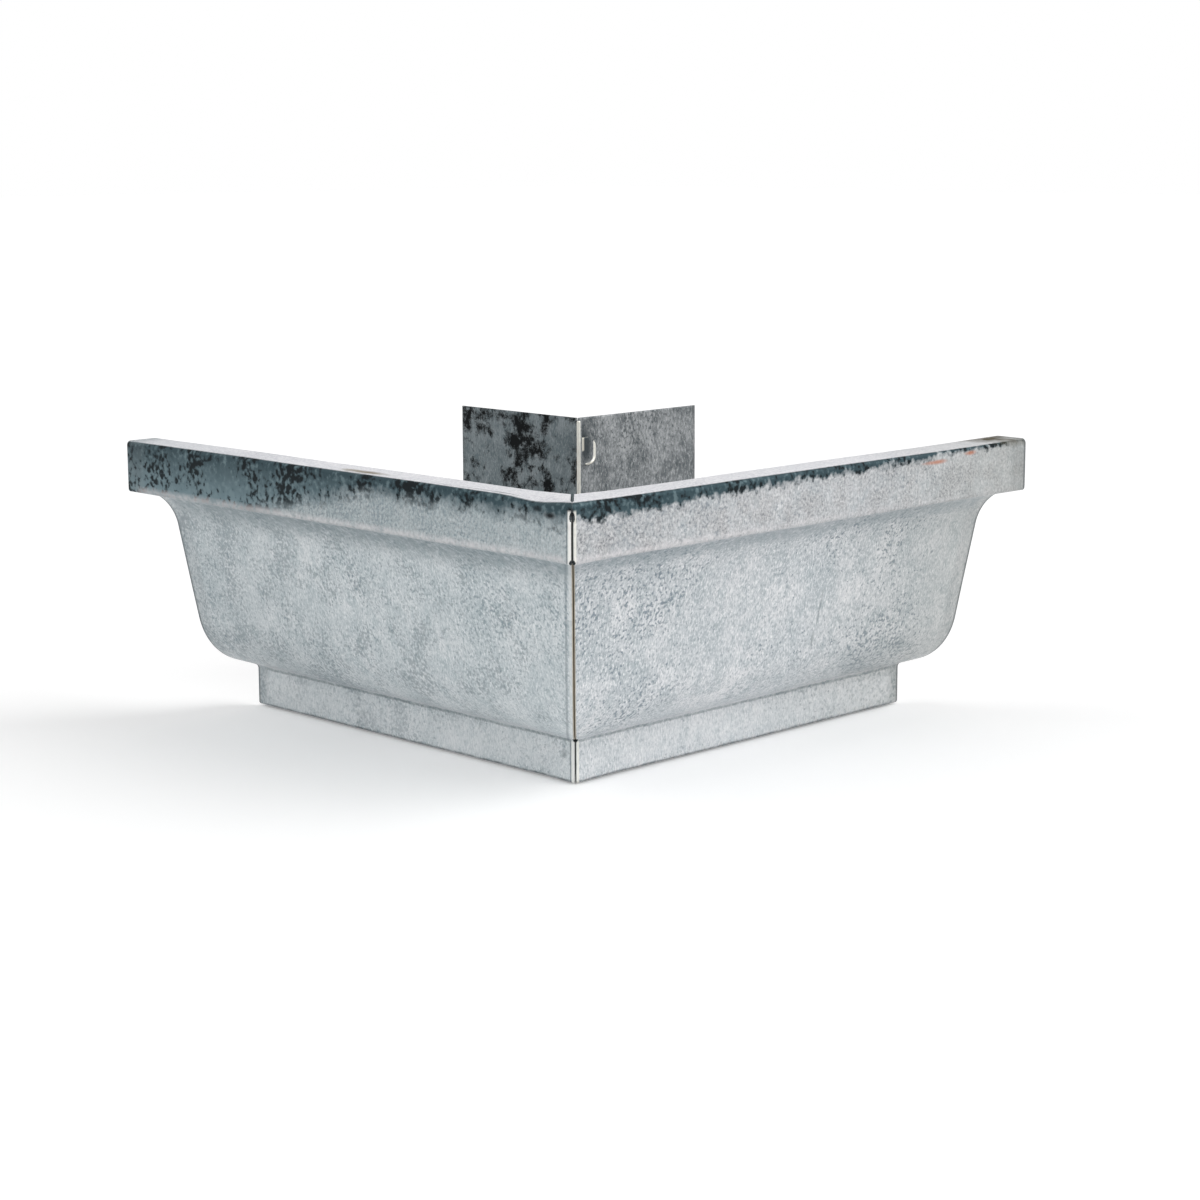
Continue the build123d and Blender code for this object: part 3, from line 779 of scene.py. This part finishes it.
# An attribute of the mesh marks the ear's edge, which gets a painted highlight
ear_rim = add_node(tree, "ShaderNodeAttribute", output="Fac", attribute_name="ear_rim")
colour = add_node(tree, "ShaderNodeMix", {0: ear_rim, 6: colour, 7: srgb("#E9E5D8")}, **BLEND)

# Painted highlight on the crest of the fold, the only place that faces both arms at once
crest = add_node(tree, "ShaderNodeMath", {0: face_x, 1: face_y}, operation="ADD")
facing_out = add_node(tree, "ShaderNodeMapRange", {0: crest, 1: -1.04, 2: -1.12})
crest_highlight = add_node(tree, "ShaderNodeMath", {0: facing_out, 1: at_back}, operation="MULTIPLY")
colour = add_node(tree, "ShaderNodeMix", {0: crest_highlight, 6: colour, 7: srgb("#FFFDF4")}, **BLEND)
dress(tree, colour, sheen, reflection_blotches)
print("trough finish with", len(tree.nodes), "nodes")

# %% [markdown]
# ## The cut edges
# The sheet was sheared after it was dipped, so its edges are bare steel. They are half a millimetre wide,
# but they draw the outline of every cut end, and a pale edge there would make the sheet look like paper.

# %% Sheared edge
# Sheared steel: no zinc on it, so it is dark and dry, but the ear's edge gets a painted highlight
tree, spot, colour, _ = zinc_skin("sheared_steel_edge", "#5A6164", "#474E51", "#6E7577", "#33393C", 0.6)
ear_links = {0: spot, 1: ear_middle}
from_ear = add_node(tree, "ShaderNodeVectorMath", ear_links, output="Value", operation="DISTANCE")
ear_edge_highlight = add_node(tree, "ShaderNodeMapRange", {0: from_ear, 1: 8 * MM, 2: 7 * MM})
colour = add_node(tree, "ShaderNodeMix", {0: ear_edge_highlight, 6: colour, 7: srgb("#E6E4DA")}, **BLEND)
tree.links.new(colour, tree.nodes["Principled BSDF"].inputs["Base Color"])
FINISHES = ["hot_dip_galvanised_steel", "weathered_galvanised_steel_with_dark_reflection", "sheared_steel_edge"]
print("finishes", FINISHES)

# %% [markdown]
# ## Making the two halves
# The tree runs on the section curve, once for each hand. Its result is turned into a plain mesh, so that
# nothing depends on the curves any more, and they are removed. The mesh gets all three finishes, outside
# first.

# %% Fold both halves


def folded_half(name, strip, right_hand):
    """Fold one half and give it the three finishes."""
    modifier = section.modifiers.new("fold", "NODES")
    modifier.node_group = fold_half
    chosen = {"Strip": strip, "Right hand": right_hand, "Material": bpy.data.materials[FINISHES[0]]}
    for item in fold_half.interface.items_tree:
        if item.in_out == "INPUT" and item.name in chosen:
            modifier[item.identifier] = chosen[item.name]
    bpy.context.view_layer.update()
    evaluated = section.evaluated_get(bpy.context.evaluated_depsgraph_get())
    mesh = bpy.data.meshes.new_from_object(evaluated)
    section.modifiers.remove(modifier)
    for finish in FINISHES[1:]:
        mesh.materials.append(bpy.data.materials[finish])
    print(name, len(mesh.polygons), "faces before it gets its thickness")
    return mesh


left_mesh = folded_half("left_half_sheet", left_strip, False)
right_mesh = folded_half("right_half_sheet", right_strip, True)
for line in (section, left_strip, right_strip):
    bpy.data.objects.remove(line)

# %% [markdown]
# ## The ear of the hem
# Near the top of the back corner, a tongue of the left half's hem is turned flat against the right back
# wall, so that the seam can't slide open. It is one small strip, bent once, with a rounded end: a grid
# whose height follows the circle of that end, with its rim raised a little. It joins the left half's
# mesh, and gets its thickness with it. A number on each point says how near the rim or the bend it is,
# which the finish reads to paint a highlight there.

# %% Plan of the ear: down the hem's leg, round the bend and along the wall
EAR_WIDTH, EAR_HEIGHT, EAR_BELOW_TOP, EAR_RADIUS = 6.5, 8.5, 6.0, 3.0
EAR_FLAT_START, EAR_FLAT_STEPS, EAR_ARC = 0.8, 8, 8
leg_side = GAP / 2 + SHEET + GAP
leg_step = leg_side / sqrt(2)
ear_face = SHEET + GAP
straight = EAR_WIDTH - EAR_RADIUS

BEND_START, BEND_MIDDLE = 0.6, 0.2
wall_depth = ear_face - leg_step
leg_depths = [SEAM_HEIGHT + SHEET - HEM_LENGTH, wall_depth + BEND_START, wall_depth + BEND_MIDDLE]
plan = [(leg_step - depth, -leg_step - depth) for depth in leg_depths]
for step in range(EAR_FLAT_STEPS + 1):
    plan.append((EAR_FLAT_START + (straight - EAR_FLAT_START) * step / EAR_FLAT_STEPS, -ear_face))
for step in range(1, EAR_ARC + 1):
    plan.append((straight + EAR_RADIUS * sqrt(1 - (1 - step / EAR_ARC) ** 2), -ear_face))
print("ear's plan of", len(plan), "points")

# %% Ear
EAR_ROWS = 20
RIM_START, RIM_WIDTH, RIM_RISE = 2.0, 0.75, 0.25
FOLD_PLACE = 1.0
middle = HEIGHT - EAR_BELOW_TOP - EAR_HEIGHT / 2

sheet = bmesh.new()
sheet.from_mesh(left_mesh)
rim_layer = sheet.verts.layers.float.new("ear_rim")
columns = []
for ear_x, ear_y in plan:
    past = max(0.0, ear_x - straight)
    half = EAR_HEIGHT / 2 - EAR_RADIUS + sqrt(max(EAR_RADIUS ** 2 - past ** 2, 0.0))
    column = []
    for row in range(EAR_ROWS + 1):
        level = middle + half * (2 * row / EAR_ROWS - 1)
        drop = max(0.0, middle - level - EAR_HEIGHT / 2 + EAR_RADIUS)
        from_edge = EAR_RADIUS - hypot(past, drop)
        rim = max(0.0, 1 - from_edge / RIM_WIDTH) * min(1.0, max(0.0, ear_x - RIM_START))
        fold = max(0.0, 1 - abs(ear_x - FOLD_PLACE) / RIM_WIDTH) * (level > middle)
        point = sheet.verts.new((ear_x * MM, (ear_y - RIM_RISE * rim) * MM, level * MM))
        point[rim_layer] = max(rim, fold)
        column.append(point)
    columns.append(column)
for first, second in zip(columns, columns[1:]):
    for row in range(EAR_ROWS):
        face = sheet.faces.new((first[row], first[row + 1], second[row + 1], second[row]))
        face.smooth = True
sheet.to_mesh(left_mesh)
sheet.free()
print("ear of", len(columns), "columns and", EAR_ROWS, "rows")

# %% [markdown]
# ## The two pieces
# So far each half is a skin with no thickness. Solidify adds the sheet's half millimetre on the inner
# side, and hands the trough side and the cut edges their own finish. Each piece takes the place of its
# CAD node, which is hidden.

# %% Pieces
for node, mesh in (("left_half", left_mesh), ("right_half", right_mesh)):
    piece = bpy.data.objects.new(node + "_sheet", mesh)
    bpy.context.scene.collection.objects.link(piece)
    thickness = piece.modifiers.new("sheet", "SOLIDIFY")
    thickness.thickness = SHEET * MM
    thickness.offset = -1
    thickness.use_even_offset = False
    thickness.material_offset = 1
    thickness.material_offset_rim = 2
    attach(piece, "root")
    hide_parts(node)
    print(piece.name, "of", SHEET, "mm sheet")

# %% [markdown]
# ## Floor and background
# The photo is a catalogue picture on white. A wide white floor keeps the object's shadow. It glows a
# little for the camera and in reflections alone, which lifts it to white without more light on the
# object, and the world behind it is white for the same rays.

# %% Floor
FLOOR_HALF = 6.0
# A hair below the part, so that the two don't share a plane
FLOOR_LEVEL = -0.0003
FLOOR_GLOW = 0.2
edges = [(-1, -1), (1, -1), (1, 1), (-1, 1)]
floor_points = [(sx * FLOOR_HALF, sy * FLOOR_HALF, FLOOR_LEVEL) for sx, sy in edges]
floor_mesh = bpy.data.meshes.new("floor")
floor_mesh.from_pydata(floor_points, [], [(0, 1, 2, 3)])
floor = bpy.data.objects.new("floor", floor_mesh)
bpy.context.scene.collection.objects.link(floor)
print("floor of", 2 * FLOOR_HALF, "m")

# %% Floor's paper


def seen_rays(tree):
    """Mask of the rays that show a surface: from the camera, in reflections and through glass."""
    rays = add_node(tree, "ShaderNodeLightPath").node.outputs
    straight_rays = {0: rays["Is Camera Ray"], 1: rays["Is Glossy Ray"]}
    seen = add_node(tree, "ShaderNodeMath", straight_rays, operation="MAXIMUM")
    return add_node(tree, "ShaderNodeMath", {0: seen, 1: rays["Is Transmission Ray"]}, operation="MAXIMUM")


# White paper: matt, and as white as paper is
paper = bpy.data.materials.new("white_paper")
paper.use_nodes = True
tree = paper.node_tree
shader = tree.nodes["Principled BSDF"].inputs
shader["Base Color"].default_value = srgb("#F4F4F4")
shader["Roughness"].default_value = 0.9
shader["Emission Color"].default_value = srgb("#FFFFFF")
glow = add_node(tree, "ShaderNodeMath", {0: seen_rays(tree), 1: FLOOR_GLOW}, operation="MULTIPLY")
tree.links.new(glow, shader["Emission Strength"])
floor_mesh.materials.append(paper)
print("floor in", paper.name)

# %% World
AMBIENT = 0.5
world = bpy.data.worlds.new("studio")
bpy.context.scene.world = world
world.use_nodes = True
tree = world.node_tree
white_links = {0: seen_rays(tree), 1: 1 - AMBIENT, 2: AMBIENT}
strength = add_node(tree, "ShaderNodeMath", white_links, operation="MULTIPLY_ADD")
backdrop = tree.nodes["Background"].inputs
backdrop["Color"].default_value = srgb("#FFFFFF")
tree.links.new(strength, backdrop["Strength"])
print("world of strength", AMBIENT, "on the object")

# %% [markdown]
# ## Light and camera
# Two soft suns give an even level, as large studio lamps do. The right side gets the stronger one, so
# that the two arms differ a little. The camera stands where it was found from the corners of the photo:
# low, in front of the outer corner, with a long lens that keeps the arms nearly in proportion.

# %% Suns
SUNS = [("key", (0.35, -0.75, 0.6), 1.6), ("fill", (-0.8, 0.15, 0.7), 0.68)]
SUN_WIDTH = 50
for name, towards, power in SUNS:
    lamp = bpy.data.lights.new(name, "SUN")
    lamp.energy = power
    lamp.angle = radians(SUN_WIDTH)
    sun = bpy.data.objects.new(name, lamp)
    sun.rotation_euler = Vector(towards).to_track_quat("Z", "Y").to_euler()
    bpy.context.scene.collection.objects.link(sun)
    print("sun", name, "of", power, "W per square metre")

# %% Camera
CAMERA_PLACE = (-528.2, -536.41, 165.25)
AZIMUTH, ELEVATION, ROLL = -45.06, 10.384, -0.115
LENS = 75.38
camera = bpy.data.cameras.new("camera")
camera.lens = LENS
camera.clip_start = 0.01
viewer = bpy.data.objects.new("camera", camera)
level_turn = Matrix.Rotation(radians(AZIMUTH), 4, "Z")
tip = Matrix.Rotation(radians(90 - ELEVATION), 4, "X")
roll = Matrix.Rotation(radians(ROLL), 4, "Z")
viewer.matrix_world = Matrix.Translation(Vector(CAMERA_PLACE) * MM) @ level_turn @ tip @ roll
bpy.context.scene.collection.objects.link(viewer)
bpy.context.scene.camera = viewer
bpy.context.scene.view_settings.view_transform = "Standard"
print("camera with a lens of", LENS, "mm")

# %% [markdown]
# ## The scene brought up to date
# The last line brings the view layer up to date.

# %% Bring the scene up to date
bpy.context.view_layer.update()
